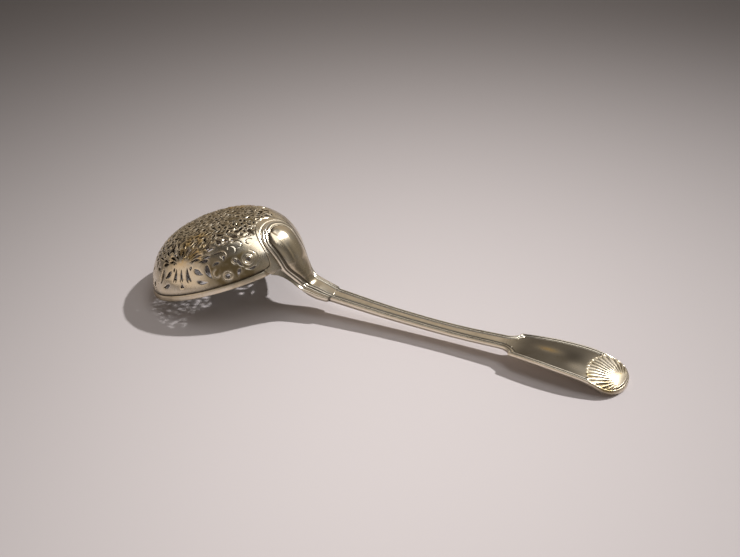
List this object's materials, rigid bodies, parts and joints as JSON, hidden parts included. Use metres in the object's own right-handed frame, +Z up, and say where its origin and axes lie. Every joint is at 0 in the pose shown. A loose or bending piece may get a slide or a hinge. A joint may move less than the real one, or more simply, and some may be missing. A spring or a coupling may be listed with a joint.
{
  "type": "sifter spoon",
  "caption": "Silver sifter spoon: a pierced round bowl with a plain band at its mouth, and a fiddle handle with thread border and shell end.",
  "frame": {"origin": "on the table under the middle of the spoon, as it lies face down with the bowl's tip and the handle's end touching the table", "axes": "+X runs from the bowl's tip to the handle's end, +Y is across the spoon, its plane of symmetry being Y = 0, and +Z is up, towards the crown of the upturned bowl"},
  "size_m": [0.2112, 0.0678, 0.0366],
  "materials": {
    "silver_bowl": "tarnished silver with worn gilding, pierced and engraved",
    "silver_band": "polished silver, softly worn",
    "silver_handle": "tarnished silver, bright on the threads and the shell"
  },
  "bodies": {
    "root": {"pierced_bowl": "silver_bowl", "mouth_band": "silver_band", "handle": "silver_handle"}
  },
  "joints": []
}
